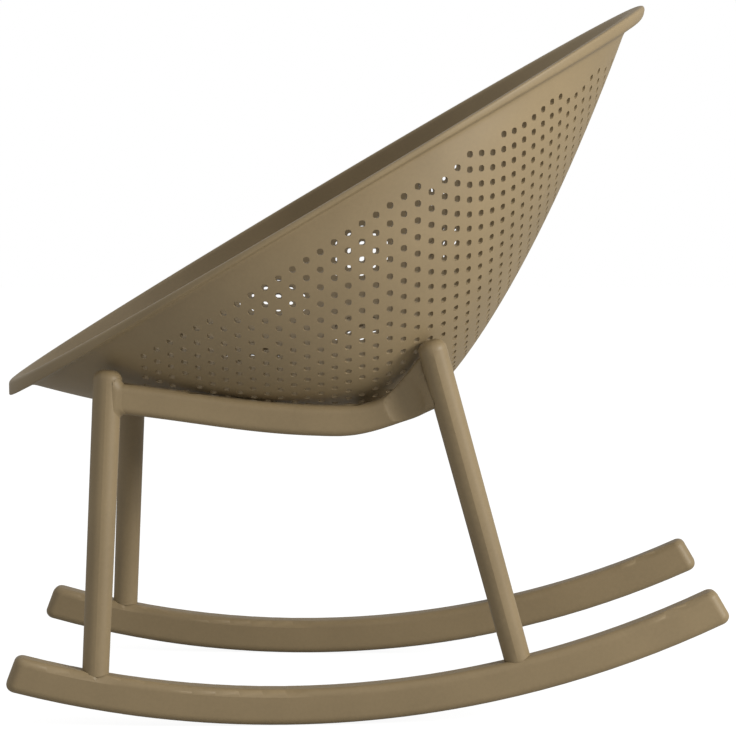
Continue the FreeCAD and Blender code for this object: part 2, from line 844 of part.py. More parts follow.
def leg_fasteners():
    bolts = []
    washers = []
    inserts = []
    for which in LEGS:
        flat, insert, outwards = bolt_line(which)
        washers.append(ring(flat - outwards * size("washer_thickness"), outwards,
                            size("washer_thickness"), size("washer_radius"),
                            size("screw_radius") + gap))
        tip = insert + outwards * (size("insert_length") - 1)
        length = (tip - flat).Length + size("washer_thickness")
        bolts.append(screw(tip, outwards, length, size("screw_radius"),
                           size("screw_head_radius"), size("screw_head_height")))
        inserts.append(ring(insert, outwards, size("insert_length"), size("insert_radius"),
                            size("screw_radius")))
    return bolts, washers, inserts


def foot_fasteners():
    screws = []
    plugs = []
    for which in LEGS:
        direction = leg_direction(which)
        tip = foot_axis_point(which, 6)
        neck = head_depth()
        screws.append(screw(tip, direction, neck - 6, size("small_screw_radius"),
                            size("small_head_radius"), size("small_head_height")))
        plug = neck + size("small_head_height") + gap
        plugs.append(rod(foot_axis_point(which, plug + size("plug_thickness")), direction,
                         size("plug_thickness"), size("small_head_radius")))
    return screws, plugs


def bar_screws():
    screws = []
    for place in bar_ends():
        axis = bar_screw_axis(place)
        tip = axis + UP * (size("bar_tenon_radius") - 1.5)
        seat = axis.z - size("bar_tenon_radius") - 5
        screws.append(screw(tip, UP, tip.z - seat, size("small_screw_radius"),
                            size("small_head_radius"), size("small_head_height")))
    return screws


# Build everything

shell_body = shell()
outer_solid = doc.getObject("bucket_outside").Shape.copy()
outer_solid.Placement = shell_place
rocker_body = rocker_blank()

seat_shell = doc.addObject("Part::Cut", "seat_shell")
insert_pockets = []
for place in boss_places():
    insert_pockets.append(rod(place, UP, size("insert_length") + 0.5, size("insert_radius")))
both_pockets = both_sides(insert_pockets)
seat_shell.Base = shell_body
seat_shell.Tool = plain("shell_cutters", both_pockets)

nodes = [seat_shell]


def pair(left):
    right = mirrored(left.Name.replace("_left", "_right"), left)
    nodes.extend([left, right])


pair(side_rail())
for bar_name, bar_place in zip(("front_cross_bar", "rear_cross_bar"), bar_ends()):
    nodes.append(cross_bar(bar_name, bar_place))
pair(leg("front"))
pair(leg("rear"))
pair(rocker())
pair(plain("tread_strip_left", tread(0)))

shell_screws, shell_washers, shell_inserts = shell_fasteners()
leg_bolts, leg_washers, leg_inserts = leg_fasteners()
foot_screws, foot_plugs = foot_fasteners()
GROUPS = (
    ("shell_screws", shell_screws),
    ("shell_washers", shell_washers),
    ("shell_inserts", shell_inserts),
    ("leg_bolts", leg_bolts),
    ("leg_washers", leg_washers),
    ("leg_inserts", leg_inserts),
    ("foot_screws", foot_screws),
    ("foot_plugs", foot_plugs),
    ("cross_bar_screws", bar_screws()),
)
for group_name, solids in GROUPS:
    nodes.append(plain(group_name, both_sides(solids)))

doc.recompute()

for item in doc.Objects:
    if "Invalid" in item.State or "Error" in item.State:
        raise RuntimeError("failed: " + item.Name)

os.makedirs("parts", exist_ok=True)
for node in nodes:
    node.Label = node.Name
    shape = node.Shape
    if shape.isNull() or not shape.isValid():
        raise RuntimeError("bad shape: " + node.Name)
    shape.exportStep("parts/%s.step" % node.Name)
    print("%-20s solids %2d  volume %10.0f mm3" % (node.Name, len(shape.Solids), shape.Volume))
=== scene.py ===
import json
import math

import bmesh
import bpy
from bpy.props import (FloatProperty, FloatVectorProperty, IntProperty, PointerProperty,
                       StringProperty)
from mathutils import Matrix, Vector


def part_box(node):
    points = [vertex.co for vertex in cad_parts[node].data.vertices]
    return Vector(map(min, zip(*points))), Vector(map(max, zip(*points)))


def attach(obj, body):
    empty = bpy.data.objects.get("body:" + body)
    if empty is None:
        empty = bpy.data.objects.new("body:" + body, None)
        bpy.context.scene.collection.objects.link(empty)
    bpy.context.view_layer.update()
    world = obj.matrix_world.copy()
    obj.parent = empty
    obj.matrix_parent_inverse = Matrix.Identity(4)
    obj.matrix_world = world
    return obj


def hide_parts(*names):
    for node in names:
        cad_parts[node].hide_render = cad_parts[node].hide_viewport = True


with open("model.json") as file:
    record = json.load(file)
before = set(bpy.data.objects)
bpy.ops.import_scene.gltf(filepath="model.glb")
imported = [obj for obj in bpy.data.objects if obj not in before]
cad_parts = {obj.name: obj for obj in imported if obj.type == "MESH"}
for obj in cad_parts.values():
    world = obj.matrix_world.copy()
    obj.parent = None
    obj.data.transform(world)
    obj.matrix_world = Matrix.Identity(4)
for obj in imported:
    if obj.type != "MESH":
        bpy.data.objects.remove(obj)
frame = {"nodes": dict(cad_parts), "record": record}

bl_info = {
    "name": "Moulded rocking chair",
    "version": (1, 0, 0),
    "blender": (4, 5, 0),
    "location": "View3D > Sidebar > Rocking chair",
    "description": "Dresses the packed rocking chair: perforated bucket, frame, rockers and stage",
    "category": "Object",
}

BODY = "root"


# Sizes and colours

class ShellSettings(bpy.types.PropertyGroup):
    """The bucket shell. It repeats the solid model's sizes, but its front wall starts 6 mm
    further back at the rim and is fuller below."""
    rim_middle: FloatVectorProperty(
        name="Rim middle", description="Centre of the rim ellipse",
        default=(0.0, -0.0445, 0.621), unit="LENGTH", size=3)
    rim_slope: FloatProperty(
        name="Rim slope", description="Rise of the rim plane to the back",
        default=math.radians(30.7), unit="ROTATION")
    rim_length: FloatProperty(
        name="Rim length", description="Front tip to back tip", default=0.915, unit="LENGTH")
    rim_width: FloatProperty(
        name="Rim width", description="Side to side", default=0.712, unit="LENGTH")
    depth: FloatProperty(
        name="Depth", description="Bucket, square to the rim plane", default=0.283, unit="LENGTH")
    width: FloatProperty(
        name="Width", description="Bucket at the rim, without the lip",
        default=0.684, unit="LENGTH")
    wall: FloatProperty(
        name="Wall", description="Thickness of the moulding", default=0.005, unit="LENGTH")
    deepest: FloatProperty(
        name="Deepest point", description="Along the rim from its middle",
        default=-0.020, unit="LENGTH")
    front_reach: FloatProperty(
        name="Front reach", description="Deepest point to the front wall at the rim",
        default=0.432, unit="LENGTH")
    back_reach: FloatProperty(
        name="Back reach", description="Deepest point to the back wall at the rim",
        default=0.460, unit="LENGTH")
    front_fullness: FloatProperty(
        name="Front fullness", description="Exponent of the front wall's curve", default=1.6)
    back_fullness: FloatProperty(
        name="Back fullness", description="Exponent of the back wall's curve", default=1.35)
    side_fullness: FloatProperty(
        name="Side fullness", description="Exponent of the side wall's curve", default=2.2)
    lip_side: FloatProperty(
        name="Lip at the sides", description="Height of the lip's edge at the sides",
        default=0.0064, unit="LENGTH")
    lip_tip: FloatProperty(
        name="Lip at the tips", description="Height of the lip's edge at the front and back",
        default=0.016, unit="LENGTH")
    lip_lean: FloatProperty(
        name="Lip lean", description="How far the lip's edge leans, per unit of its height",
        default=0.62)
    hole_size: FloatProperty(
        name="Hole size", description="Perforation, across its flats",
        default=0.0078, unit="LENGTH")
    hole_pitch: FloatProperty(
        name="Hole pitch", description="Spacing in a column at the front",
        default=0.0210, unit="LENGTH")
    hole_pitch_back: FloatProperty(
        name="Hole pitch at the back", description="Spacing in a column at the back",
        default=0.0178, unit="LENGTH")
    column_step: FloatProperty(
        name="Column step", description="Distance between columns at the front",
        default=0.0160, unit="LENGTH")
    column_step_back: FloatProperty(
        name="Column step at the back", description="Distance between columns at the back",
        default=0.0100, unit="LENGTH")
    first_column: FloatProperty(
        name="First column", description="Place of the front column along the chair",
        default=-0.255, unit="LENGTH")
    border: FloatProperty(
        name="Border", description="Plain band under the rim", default=0.038, unit="LENGTH")
    columns_round: IntProperty(
        name="Steps round", description="Mesh steps round the rim", default=288)
    rows_down: IntProperty(
        name="Steps down", description="Mesh steps down a wall", default=72)


class FrameSettings(bpy.types.PropertyGroup):
    """Legs and rails. Their places repeat the solid model's."""
    front_foot: FloatVectorProperty(
        name="Front foot", description="Middle of the left front leg on its rocker",
        default=(0.25705, -0.314, 0.06503), unit="LENGTH", size=3)
    front_top: FloatVectorProperty(
        name="Front leg top", description="Top of the left front leg",
        default=(0.236, -0.2985, 0.421), unit="LENGTH", size=3)
    rear_foot: FloatVectorProperty(
        name="Rear foot", description="Middle of the left rear leg on its rocker",
        default=(0.22475, 0.1855, 0.07563), unit="LENGTH", size=3)
    rear_top: FloatVectorProperty(
        name="Rear leg top", description="Top of the left rear leg",
        default=(0.261, 0.0805, 0.458), unit="LENGTH", size=3)
    leg_radius: FloatProperty(
        name="Leg radius", description="At the rails", default=0.0168, unit="LENGTH")
    rail_front_height: FloatProperty(
        name="Rail at the front", description="Middle of the rail at the front leg",
        default=0.3895, unit="LENGTH")
    rail_width: FloatProperty(
        name="Rail width", description="Across", default=0.030, unit="LENGTH")
    rail_height: FloatProperty(
        name="Rail height", description="Upright", default=0.036, unit="LENGTH")
    rail_corner: FloatProperty(
        name="Rail corner", description="Rounding of the rail's edges",
        default=0.009, unit="LENGTH")
    front_fillet: FloatProperty(
        name="Front fillet", description="Where the rail runs into the front leg",
        default=0.0075, unit="LENGTH")
    scoop_middle: FloatVectorProperty(
        name="Scoop middle", description="Middle of the hollow beside the left rear leg",
        default=(0.2705, 0.033, 0.412), unit="LENGTH", size=3)
    scoop_size: FloatVectorProperty(
        name="Scoop size", description="Half-sizes of the hollow",
        default=(0.0300, 0.039, 0.085), unit="LENGTH", size=3)
    bar_thickness: FloatProperty(
        name="Cross bar", description="Thickness under the bucket's belly",
        default=0.010, unit="LENGTH")
    cap_height: FloatProperty(
        name="Cap height", description="Round caps on the front legs' inner sides",
        default=0.352, unit="LENGTH")
    cap_radius: FloatProperty(
        name="Cap radius", description="Round caps", default=0.0058, unit="LENGTH")


class FinishSettings(bpy.types.PropertyGroup):
    """Colours and surface of the materials."""
    plastic: StringProperty(
        name="Plastic", description="Moulded polypropylene, sRGB", default="#8F7D5E")
    plastic_frame: StringProperty(
        name="Frame plastic", description="Glass-filled polypropylene, sRGB", default="#8C7A5B")
    rubber: StringProperty(name="Rubber", description="Tread strips, sRGB", default="#2B2926")
    zinc: StringProperty(name="Zinc", description="Zinc-plated steel, sRGB", default="#B9BBBD")
    brass: StringProperty(name="Brass", description="Thread inserts, sRGB", default="#B99A52")
    grain: FloatProperty(
        name="Grain", description="Size of the moulded grain", default=0.0007, unit="LENGTH")
    roughness: FloatProperty(name="Roughness", description="Moulded plastic", default=0.52)


class StageSettings(bpy.types.PropertyGroup):
    """Camera, lights and floor."""
    camera_place: FloatVectorProperty(
        name="Camera", description="Place of the camera",
        default=(4.2586, 0.00224, 0.8056), unit="LENGTH", size=3)
    camera_turn: FloatVectorProperty(
        name="Camera turn", description="Rotation of the camera",
        default=(math.radians(84.575), 0.0, math.radians(89.92)), unit="ROTATION", size=3)
    lens: FloatProperty(name="Lens", description="Focal length in millimetres", default=167.8)
    key_power: FloatProperty(name="Key", description="Key light in watts", default=142.0)
    top_power: FloatProperty(name="Top", description="Top light in watts", default=12.0)
    ambient: FloatProperty(name="Ambient", description="Strength of the surroundings", default=0.54)
    floor_size: FloatProperty(
        name="Floor size", description="Side of the floor", default=14.0, unit="LENGTH")


# Materials. Scales are per metre: 1000 / a scale is the pattern's size in mm.

FLOW_CLOUDS = 9.0      # about 110 mm, as broad as the flow marks of a large moulding
TOOL_MARKS = 900.0     # about 1.1 mm, coarser than real tool marks so that they still show
RUBBER_DUST = 220.0    # about 4.5 mm patches of dust


def linear(hex_colour):
    """sRGB hex to the linear colour that shaders take."""
    channels = []
    for start in (1, 3, 5):
        value = int(hex_colour[start:start + 2], 16) / 255
        channels.append(value / 12.92 if value <= 0.04045 else ((value + 0.055) / 1.055) ** 2.4)
    return (*channels, 1.0)


def node(tree, kind, links=None, **values):
    """Adds a shader node, sets its attributes and sockets, and links its inputs."""
    made = tree.nodes.new(kind)
    for name, value in values.items():
        if hasattr(made, name):
            setattr(made, name, value)
        else:
            made.inputs[name.replace("_", " ")].default_value = value
    for socket, source in (links or {}).items():
        tree.links.new(source, made.inputs[socket])
    return made


def new_material(name):
    """A material without nodes, and its tree."""
    material = bpy.data.materials.new(name)
    material.use_nodes = True
    tree = material.node_tree
    tree.nodes.clear()
    return material, tree


def moulded_plastic(name, hex_colour, grain, roughness):
    """Matt moulded plastic: faint flow clouds, fine spark-eroded grain, soft gloss."""
    material, tree = new_material(name)
    place = node(tree, "ShaderNodeTexCoord").outputs["Object"]
    clouds = node(tree, "ShaderNodeTexNoise", {"Vector": place}, Scale=FLOW_CLOUDS,
                  Detail=3.0)
    # Six times the grain: real grain alone would be too fine to see from this far
    specks = node(tree, "ShaderNodeTexNoise", {"Vector": place}, Scale=1 / (6 * grain),
                  Detail=2.0)
    colour = linear(hex_colour)
    darker = tuple(c * 0.93 for c in colour[:3]) + (1.0,)
    lighter = tuple(min(1, c * 1.06) for c in colour[:3]) + (1.0,)
    ramp = node(tree, "ShaderNodeValToRGB", {"Fac": clouds.outputs["Fac"]})
    ramp.color_ramp.elements[0].position = 0.3
    ramp.color_ramp.elements[0].color = darker
    ramp.color_ramp.elements[1].position = 0.7
    ramp.color_ramp.elements[1].color = lighter
    tint = node(tree, "ShaderNodeMix", data_type="RGBA", blend_type="MULTIPLY")
    tint.inputs["Factor"].default_value = 0.12
    tree.links.new(ramp.outputs["Color"], tint.inputs[6])
    tree.links.new(specks.outputs["Fac"], tint.inputs[7])
    gloss = node(tree, "ShaderNodeMapRange", {"Value": specks.outputs["Fac"]},
                 To_Min=roughness - 0.06, To_Max=roughness + 0.08)
    pits = node(tree, "ShaderNodeTexNoise", {"Vector": place}, Scale=1 / grain, Detail=1.0)
    bump = node(tree, "ShaderNodeBump", {"Height": pits.outputs["Fac"]},
                Strength=0.22, Distance=0.00008)
    shader = node(tree, "ShaderNodeBsdfPrincipled",
                  {"Base Color": tint.outputs[2], "Roughness": gloss.outputs["Result"],
                   "Normal": bump.outputs["Normal"]}, IOR=1.49)
    shader.inputs["Specular IOR Level"].default_value = 0.4
    node(tree, "ShaderNodeOutputMaterial", {"Surface": shader.outputs["BSDF"]})
    return material


def metal(name, hex_colour, roughness):
    """Plated or turned metal with faint tool marks."""
    material, tree = new_material(name)
    place = node(tree, "ShaderNodeTexCoord").outputs["Object"]
    marks = node(tree, "ShaderNodeTexNoise", {"Vector": place}, Scale=TOOL_MARKS,
                 Detail=2.0)
    gloss = node(tree, "ShaderNodeMapRange", {"Value": marks.outputs["Fac"]},
                 To_Min=roughness - 0.08, To_Max=roughness + 0.12)
    bump = node(tree, "ShaderNodeBump", {"Height": marks.outputs["Fac"]},
                Strength=0.15, Distance=0.00005)
    shader = node(tree, "ShaderNodeBsdfPrincipled",
                  {"Roughness": gloss.outputs["Result"], "Normal": bump.outputs["Normal"]},
                  Metallic=1.0)
    shader.inputs["Base Color"].default_value = linear(hex_colour)
    node(tree, "ShaderNodeOutputMaterial", {"Surface": shader.outputs["BSDF"]})
    return material


def rubber(name, hex_colour):
    """Dark, dull rubber with a little pale dust on it."""
    material, tree = new_material(name)
    place = node(tree, "ShaderNodeTexCoord").outputs["Object"]
    dust = node(tree, "ShaderNodeTexNoise", {"Vector": place}, Scale=RUBBER_DUST,
                Detail=4.0)
    colour = linear(hex_colour)
    ramp = node(tree, "ShaderNodeValToRGB", {"Fac": dust.outputs["Fac"]})
    ramp.color_ramp.elements[0].color = colour
    ramp.color_ramp.elements[1].color = tuple(c * 1.6 for c in colour[:3]) + (1.0,)
    bump = node(tree, "ShaderNodeBump", {"Height": dust.outputs["Fac"]},
                Strength=0.3, Distance=0.0001)
    shader = node(tree, "ShaderNodeBsdfPrincipled",
                  {"Base Color": ramp.outputs["Color"], "Normal": bump.outputs["Normal"]},
                  Roughness=0.82)
    node(tree, "ShaderNodeOutputMaterial", {"Surface": shader.outputs["BSDF"]})
    return material


def finishes():
    """The materials, made once and then shared."""
    made = bpy.context.scene.chair_finish
    makers = {
        "polypropylene_bucket": lambda n: moulded_plastic(n, made.plastic, made.grain,
                                                          made.roughness),
        "glass_filled_polypropylene_frame": lambda n: moulded_plastic(
            n, made.plastic_frame, made.grain, made.roughness - 0.02),
        "ribbed_rubber_tread": lambda n: rubber(n, made.rubber),
        "zinc_plated_steel": lambda n: metal(n, made.zinc, 0.34),
        "turned_brass": lambda n: metal(n, made.brass, 0.3),
    }
    return {name: bpy.data.materials.get(name) or make(name) for name, make in makers.items()}


# Mesh helpers

def piece_from(name, points, faces, material, sharp=math.radians(35)):
    """A smooth-shaded object from points and faces, creased where it turns sharply."""
    mesh = bpy.data.meshes.new(name)
    mesh.from_pydata([tuple(p) for p in points], [], faces)
    mesh.validate()
    mesh.polygons.foreach_set("use_smooth", [True] * len(mesh.polygons))
    mesh.set_sharp_from_angle(angle=sharp)
    mesh.materials.append(material)
    piece = bpy.data.objects.new(name, mesh)
    bpy.context.scene.collection.objects.link(piece)
    return piece


def carve(piece, cutter, sharp=math.radians(35)):
    """Takes the cutter's volume out of the piece and removes the cutter."""
    tool = piece.modifiers.new("carve", "BOOLEAN")
    tool.operation = "DIFFERENCE"
    tool.solver = "MANIFOLD"
    tool.object = cutter
    graph = bpy.context.evaluated_depsgraph_get()
    mesh = bpy.data.meshes.new_from_object(piece.evaluated_get(graph))
    if len(mesh.polygons) <= len(piece.data.polygons) // 2:
        raise RuntimeError("nothing left of " + piece.name)
    piece.modifiers.clear()
    piece.data = mesh
    mesh.polygons.foreach_set("use_smooth", [True] * len(mesh.polygons))
    mesh.set_sharp_from_angle(angle=sharp)
    bpy.data.objects.remove(cutter)
    return piece


# Bucket shell

ROW_CROWDING = 1.7       # mesh rows stand closer together near the bottom
LAST_ROW = 0.005         # from the uppermost row of a wall up to its corner
CORNER_REACH = 0.004     # how far a wall's corner reaches along the lip
UNDER_LIP = 0.002        # from the lip's edge down to the outer corner
LAST_COLUMN = 0.33       # where the columns of holes end along the chair
COLUMN_BLEND = (0.06, 0.24)   # where the column step changes along the chair
PITCH_BLEND = (0.03, 0.12)    # where the pitch within a column changes
ANCHOR_COLUMN = 0.104    # column from which the other columns' heights are counted
ANCHOR_HEIGHT = 0.607    # height of a hole in that column
CLIMB_LEVEL = 0.118      # where neighbouring columns stand level
CLIMB_RATE = 0.125       # rise from column to column, per metre from there
RIM_MARGIN = 0.02        # least distance of a column's anchor from its upper end
BOSS_CLEARANCE = 0.0135  # no hole's centre is nearer to a boss in plan
INSERT_RADIUS = 0.0045
HOLE_SIDES = 12
# Each end of a hole's plug: its distance outside the wall and its share of the hole's size
PLUG_ENDS = ((0.006, 1.06), (-0.014, 0.88))


class Bucket:
    """The bucket's form: rings parallel to the rim, in metres."""

    def __init__(self, settings):
        self.s = settings
        turn = Matrix.Rotation(settings.rim_slope, 4, "X")
        self.place = Matrix.Translation(settings.rim_middle) @ turn
        self.inverse = self.place.inverted()

    def egg(self, depth, wall=0.0):
        """Front, back and side half-lengths of the ring at a depth."""
        s = self.s
        full = s.depth - wall
        left = max(0.0, 1 - depth / full)
        sunk = min(1.0, max(0.0, depth / full))
        front_slope = s.front_fullness * s.depth / s.front_reach
        back_slope = s.back_fullness * s.depth / s.back_reach
        front = s.front_reach - wall / math.sin(math.atan(front_slope))
        back = s.back_reach - wall / math.sin(math.atan(back_slope))
        half = s.width / 2 - wall
        return (front * left ** (1 / s.front_fullness),
                back * left ** (1 / s.back_fullness),
                half * (1 - sunk ** s.side_fullness) ** (1 / s.side_fullness))

    def ring_point(self, turn, depth, wall=0.0):
        front, back, half = self.egg(depth, wall)
        reach = back if math.cos(turn) > 0 else front
        return Vector((half * math.sin(turn),
                       self.s.deepest + reach * math.cos(turn), -depth))

    def rim_point(self, turn, inset=0.0, depth=0.0):
        """On the lip's edge, moved in by an inset and leaning with its depth."""
        s = self.s
        a = s.rim_width / 2
        b = s.rim_length / 2
        normal = Vector((math.sin(turn) / a, math.cos(turn) / b, 0)).normalized()
        lean = Vector((0, -depth * s.lip_lean, 0))
        return Vector((a * math.sin(turn), b * math.cos(turn), -depth)) - normal * inset + lean

    def lip_height(self, turn):
        share = math.cos(turn) ** 2
        return self.s.lip_side + (self.s.lip_tip - self.s.lip_side) * share

    def level(self, y, z):
        """Distance along the rim from the deepest point, and depth, of a world place."""
        local = self.inverse @ Vector((0, y, z))
        return local.y - self.s.deepest, -local.z

    def half_width(self, y, z):
        along, depth = self.level(y, z)
        if not 0 <= depth < self.s.depth:
            return None
        front, back, half = self.egg(depth)
        reach = back if along > 0 else front
        if abs(along) >= reach:
            return None
        return half * math.sqrt(1 - (along / reach) ** 2)

    def outside(self, point):
        along, depth = self.level(point.y, point.z)
        if depth >= self.s.depth * 0.9999:
            return 1.0
        front, back, half = self.egg(max(depth, 0))
        reach = back if along > 0 else front
        return (along / reach) ** 2 + (point.x / half) ** 2 - 1

    def normal(self, point):
        step = 0.0005
        axes = (Vector((step, 0, 0)), Vector((0, step, 0)), Vector((0, 0, step)))
        return Vector([self.outside(point + a) - self.outside(point - a) for a in axes]
                      ).normalized()


def corner_curve(a, corner, b, steps):
    """Points of a soft corner from a to b."""
    points = []
    for n in range(1, steps):
        t = n / steps
        points.append(a * (1 - t) ** 2 + corner * 2 * t * (1 - t) + b * t ** 2)
    return points


def shell_column(bucket, turn):
    """One closed section of the shell, from the outer pole over the lip to the inner pole."""
    s = bucket.s
    rows = s.rows_down
    lip = bucket.lip_height(turn)
    under = lip + UNDER_LIP
    points = []
    for n in range(1, rows + 1):
        left = (n / rows) ** ROW_CROWDING
        depth = s.depth - left * (s.depth - under - LAST_ROW)
        points.append(bucket.ring_point(turn, depth))
    wall_corner = bucket.ring_point(turn, under)
    low_edge = bucket.rim_point(turn, 0.001, lip)
    outwards = (low_edge - wall_corner).normalized()
    joint = wall_corner + outwards * CORNER_REACH
    points += corner_curve(points[-1], wall_corner, joint, 5)
    points.append(joint)
    # The lip's edge is rounder and thicker at the back tip only
    bulb = max(0.0, math.cos(turn)) ** 8
    before = low_edge - outwards * (0.0030 + 0.0075 * bulb)
    after = bucket.rim_point(turn, 0.0004, lip - 0.0022 - 0.0050 * bulb)
    points.append(before)
    points += corner_curve(before, low_edge, after, 5)
    points.append(after)
    face_top = bucket.rim_point(turn, 0, 0.0032 + 0.0048 * bulb)
    points.append(face_top)
    top = bucket.rim_point(turn, 0, 0)
    top_in = bucket.rim_point(turn, 0.0040 + 0.0100 * bulb, 0)
    points += corner_curve(face_top, top, top_in, 6)
    points.append(top_in)
    inner_corner = bucket.ring_point(turn, 0.0, s.wall)
    inwards = (top_in - inner_corner).normalized()
    inner_start = inner_corner + inwards * CORNER_REACH
    points.append(inner_start)
    inner_rows = []
    for n in range(1, rows + 1):
        left = (n / rows) ** ROW_CROWDING
        depth = (s.depth - s.wall) - left * (s.depth - s.wall - LAST_ROW)
        inner_rows.append(bucket.ring_point(turn, depth, s.wall))
    points += corner_curve(inner_start, inner_corner, inner_rows[-1], 6)
    points += reversed(inner_rows)
    return points


def shell_blank(bucket, material):
    """The shell before its holes are cut, as one closed skin."""
    s = bucket.s
    columns = s.columns_round
    points = []
    faces = []
    for c in range(columns):
        points += shell_column(bucket, 2 * math.pi * c / columns)
    rows = len(points) // columns
    for c in range(columns):
        here = c * rows
        there = (c + 1) % columns * rows
        for r in range(rows - 1):
            faces.append((here + r, here + r + 1, there + r + 1, there + r))
    outer_pole = len(points)
    points.append(Vector((0, s.deepest, -s.depth)))
    inner_pole = len(points)
    points.append(Vector((0, s.deepest, -(s.depth - s.wall))))
    for c in range(columns):
        here = c * rows
        there = (c + 1) % columns * rows
        faces.append((outer_pole, here, there))
        faces.append((inner_pole, there + rows - 1, here + rows - 1))
    points = [bucket.place @ p for p in points]
    return piece_from("bucket_shell", points, faces, material)


def column_curve(bucket, y):
    """The bucket's half section in the upright plane at y, bottom middle to rim."""
    z = bucket.place.translation.z - bucket.s.depth * 1.25
    step = 0.0012
    curve = []
    travelled = 0.0
    while z < bucket.place.translation.z + bucket.s.rim_length / 2:
        z += step
        x = bucket.half_width(y, z)
        if x is None:
            if curve:
                break
            continue
        if not curve:
            curve.append((0.0, Vector((0, y, z))))
        here = Vector((x, y, z))
        travelled += (here - curve[-1][1]).length
        curve.append((travelled, here))
    return curve


def at_distance(curve, distance):
    """Place and direction at a distance along a curve."""
    for (a, p), (b, q) in zip(curve, curve[1:]):
        if a <= distance <= b:
            share = (distance - a) / max(b - a, 1e-9)
            return p.lerp(q, share), (q - p).normalized()
    return None


def blend_along(y, low, high, first, last):
    """From one value to another between two places along the chair."""
    share = min(1.0, max(0.0, (y - first) / (last - first)))
    return low + (high - low) * share


def hole_places(bucket):
    """Centres and column directions of the perforations."""
    s = bucket.s
    columns = [s.first_column]
    while columns[-1] < LAST_COLUMN:
        y = columns[-1]
        columns.append(y + blend_along(y, s.column_step, s.column_step_back, *COLUMN_BLEND))
    middle = min(range(len(columns)), key=lambda n: abs(columns[n] - ANCHOR_COLUMN))
    height = {middle: ANCHOR_HEIGHT}
    for n in range(middle + 1, len(columns)):
        height[n] = height[n - 1] + climb(columns[n - 1], s)
    for n in range(middle - 1, -1, -1):
        height[n] = height[n + 1] - climb(columns[n], s)
    places = []
    for n, y in enumerate(columns):
        curve = column_curve(bucket, y)
        if len(curve) < 3:
            continue
        pitch = blend_along(y, s.hole_pitch, s.hole_pitch_back, *PITCH_BLEND)
        anchor = anchor_distance(curve, height[n], pitch)
        halves = max(1, round(2 * anchor / pitch))
        pitch = 2 * anchor / halves
        distance = 0.0 if halves % 2 == 0 else pitch / 2
        while distance <= curve[-1][0]:
            found = at_distance(curve, distance)
            distance += pitch
            if found is None:
                continue
            point, along = found
            if bucket.level(point.y, point.z)[1] < s.border:
                continue
            places.append((point, along))
            if point.x > pitch / 4:
                mirror = Vector((-1, 1, 1))
                places.append((point * mirror, along * mirror))
    return places


def climb(y, s):
    """How far the next column's holes stand above this one's."""
    half = s.hole_pitch / 2
    return max(-half, min(half, CLIMB_RATE * (y - CLIMB_LEVEL)))


def anchor_distance(curve, height, pitch):
    """Distance up a column to a height, carried past the rim by whole pitches."""
    top = curve[-1]
    while height > top[1].z - RIM_MARGIN:
        height -= pitch
    for distance, point in curve:
        if point.z >= height:
            return max(distance, pitch)
    return top[0]


def perforations(bucket, keep_clear):
    """Tapered rounded-square plugs, one through the wall at each place."""
    half = bucket.s.hole_size / 2
    points = []
    faces = []
    for centre, along in hole_places(bucket):
        if any(math.hypot(abs(centre.x) - x, centre.y - y) < BOSS_CLEARANCE
               for x, y in keep_clear):
            continue
        normal = bucket.normal(centre)
        side = along.cross(normal).normalized()
        up = normal.cross(side)
        first = len(points)
        for offset, grow in PLUG_ENDS:
            for n in range(HOLE_SIDES):
                turn = 2 * math.pi * n / HOLE_SIDES
                c = math.cos(turn)
                d = math.sin(turn)
                radius = half * grow / (abs(c) ** 3 + abs(d) ** 3) ** (1 / 3)
                points.append(centre + normal * offset + side * radius * c + up * radius * d)
        for n in range(HOLE_SIDES):
            m = (n + 1) % HOLE_SIDES
            faces.append((first + n, first + HOLE_SIDES + n, first + HOLE_SIDES + m, first + m))
        faces.append(tuple(first + n for n in range(HOLE_SIDES)))
        faces.append(tuple(first + HOLE_SIDES + n for n in reversed(range(HOLE_SIDES))))
    return points, faces


class CHAIR_OT_bucket_shell(bpy.types.Operator):
    """Builds the perforated bucket shell in place of its plain solid"""
    bl_idname = "chair.bucket_shell"
    bl_label = "Bucket shell"

    def execute(self, context):
        bucket = Bucket(context.scene.chair_shell)
        plastic = finishes()["polypropylene_bucket"]
        shell = shell_blank(bucket, plastic)
        points, faces = perforations(bucket, boss_places())
        cutter = piece_from("perforation_plugs", points, faces, plastic)
        carve(shell, cutter)
        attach(shell, BODY)
        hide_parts("seat_shell")
        return {"FINISHED"}


def boss_places():
    """Where the left bosses stand under the shell in plan, near enough to keep holes off."""
    places = []
    low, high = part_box("shell_inserts")
    for y in (low.y, high.y):
        places.append((high.x - INSERT_RADIUS, y))
    return places


# Frame

# A cap's rings: height over the leg's surface and share of the cap's radius. It is a low dome
# with a shallow groove round its middle.
CAP_RINGS = ((-0.003, 1.0), (0.0009, 1.0), (0.0017, 0.93), (0.0023, 0.8),
             (0.0020, 0.62), (0.0020, 0.55), (0.0026, 0.45), (0.0029, 0.2))
CAP_SIDES = 28
SOLID_BAR = 0.016        # thickness of the solid cross bars
BAR_INSET = 0.0125       # from the end of the solid bar's tenon in to the band's end
BAR_CORNER = 0.0042
GROOVE_DEPTH = 0.0022    # channel along a cross bar's underside
GROOVE_SHARE = 0.3       # half the channel's width, as a share of the bar's


def along_leg(foot, top, height):
    """Place on a leg's axis at a height."""
    share = (height - foot.z) / (top.z - foot.z)
    return foot.lerp(top, share)


def rounded_outline(width, height, radius, steps=6):
    """Points of an upright rounded rectangle, as pairs across and up."""
    radius = min(radius, width / 2.05, height / 2.05)
    outline = []
    for quarter, (sx, sz) in enumerate(((1, 1), (-1, 1), (-1, -1), (1, -1))):
        for n in range(steps + 1):
            turn = math.pi / 2 * (quarter + n / steps)
            outline.append((sx * (width / 2 - radius) + radius * math.cos(turn),
                            sz * (height / 2 - radius) + radius * math.sin(turn)))
    return outline


